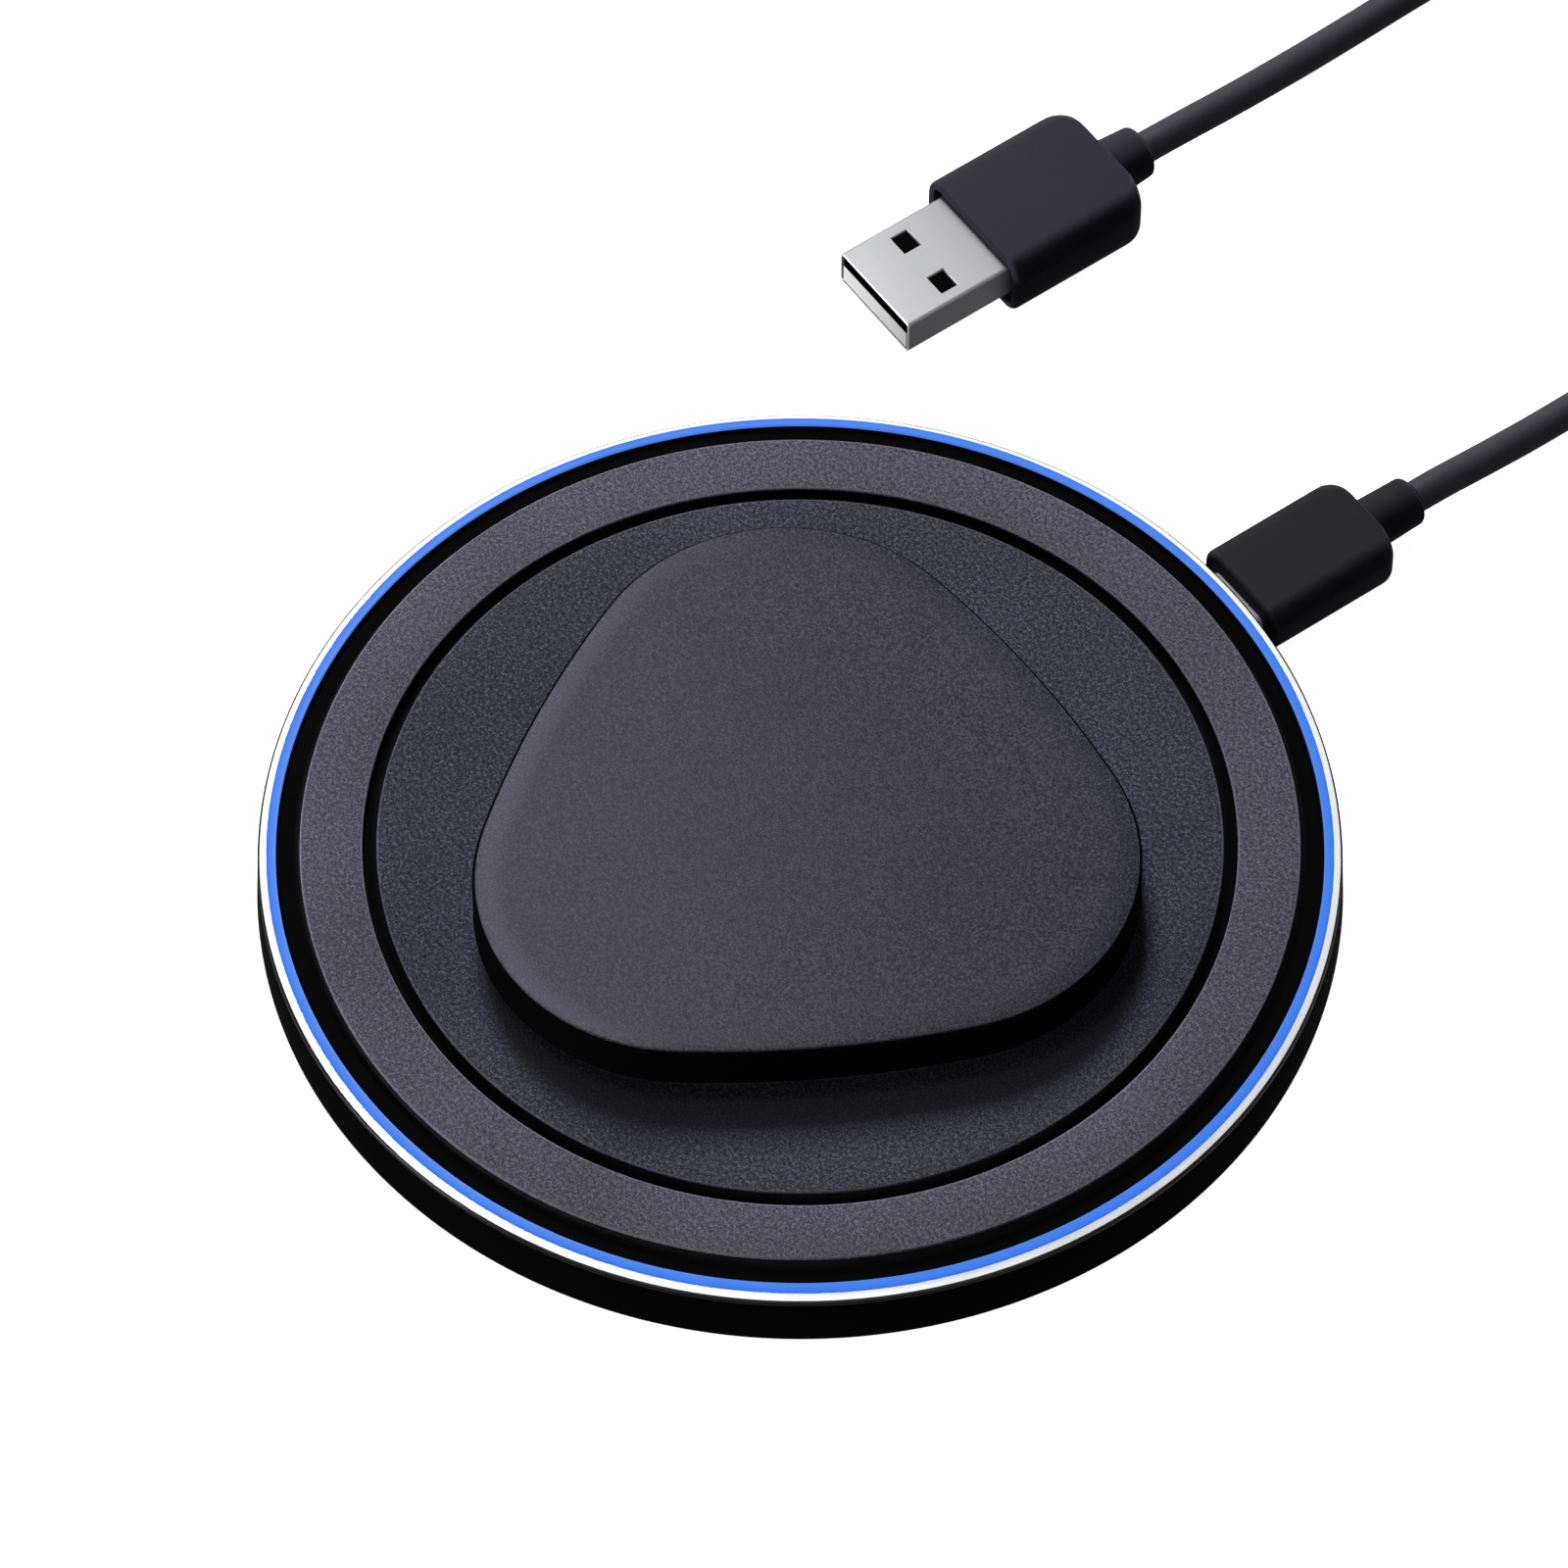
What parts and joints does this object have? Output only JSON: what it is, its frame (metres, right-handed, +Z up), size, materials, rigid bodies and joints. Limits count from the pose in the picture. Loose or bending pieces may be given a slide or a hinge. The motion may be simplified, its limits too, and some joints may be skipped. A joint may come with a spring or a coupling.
{
  "type": "wireless charging pad",
  "caption": "Round wireless charging pad with a light ring, a raised three-sided charging plateau and a detachable USB cable.",
  "frame": {"origin": "on the surface the pad stands on, under the centre of the round pad", "axes": "+Z up, out of the charging face; +Y out of the USB-C port, along the cable"},
  "size_m": [0.1162, 0.2487, 0.0135],
  "materials": {
    "black_gloss_plastic": "polished black",
    "black_matte_plastic": "fine satin black",
    "grip_coating": "soft-touch coating, fine speckle",
    "deck_coating": "soft-touch coating, fine speckle",
    "polished_trim": "diamond-cut bright chamfer",
    "light_guide": "translucent, lit blue",
    "foot_rubber": "matt",
    "screw_steel": "nickel plated",
    "copper_wire": null,
    "ferrite": null,
    "white_nylon": "moulded",
    "circuit_laminate": "solder-masked glass laminate",
    "chip_epoxy": "moulded epoxy",
    "capacitor_ceramic": "sintered",
    "led_resin": "clear over phosphor",
    "plug_steel": "nickel plated, satin",
    "contact_gold": null,
    "plug_insulator": "moulded",
    "overmold_black": "satin",
    "overmold_grey": "satin",
    "cord_jacket": "satin extruded",
    "tie_nylon": "moulded"
  },
  "bodies": {
    "pad": {"bottom_case": "black_gloss_plastic", "trim_ring": "polished_trim", "light_ring": "light_guide", "top_cover": "black_gloss_plastic", "grip_ring": "grip_coating", "deck_disc": "deck_coating", "plateau_housing": "black_matte_plastic", "plateau_cap": "deck_coating", "charging_coil": "copper_wire", "ferrite_disc": "ferrite", "thermistor": "chip_epoxy", "coil_carrier": "white_nylon", "coil_lead_1": "copper_wire", "coil_lead_2": "copper_wire", "circuit_board": "circuit_laminate", "controller_chip": "chip_epoxy", "bridge_chip_1": "chip_epoxy", "bridge_chip_2": "chip_epoxy", "power_inductor": "ferrite", "usb_c_receptacle_shell": "plug_steel", "usb_c_receptacle_tongue": "chip_epoxy", "resonant_capacitor_1": "capacitor_ceramic", "screw_1": "screw_steel", "foot_1": "foot_rubber", "resonant_capacitor_2": "capacitor_ceramic", "screw_2": "screw_steel", "foot_2": "foot_rubber", "resonant_capacitor_3": "capacitor_ceramic", "screw_3": "screw_steel", "foot_3": "foot_rubber", "resonant_capacitor_4": "capacitor_ceramic", "screw_4": "screw_steel", "foot_4": "foot_rubber", "led_1": "led_resin", "led_2": "led_resin", "led_3": "led_resin", "led_4": "led_resin", "led_5": "led_resin", "led_6": "led_resin"},
    "cable": {"usb_c_plug_shell": "plug_steel", "usb_c_overmold": "overmold_black", "cord_lead": "cord_jacket", "cord_coil": "cord_jacket", "cord_tail": "cord_jacket", "cable_tie": "tie_nylon", "usb_a_overmold": "overmold_grey", "usb_a_shell": "plug_steel", "usb_a_tongue": "plug_insulator", "usb_a_contact_1": "contact_gold", "usb_a_contact_2": "contact_gold", "usb_a_contact_3": "contact_gold", "usb_a_contact_4": "contact_gold"}
  },
  "joints": [
    {"name": "cable_unplug", "type": "slide", "parent": "pad", "child": "cable", "axis": [0, 1, 0], "range_m": [0, 0.012]}
  ]
}
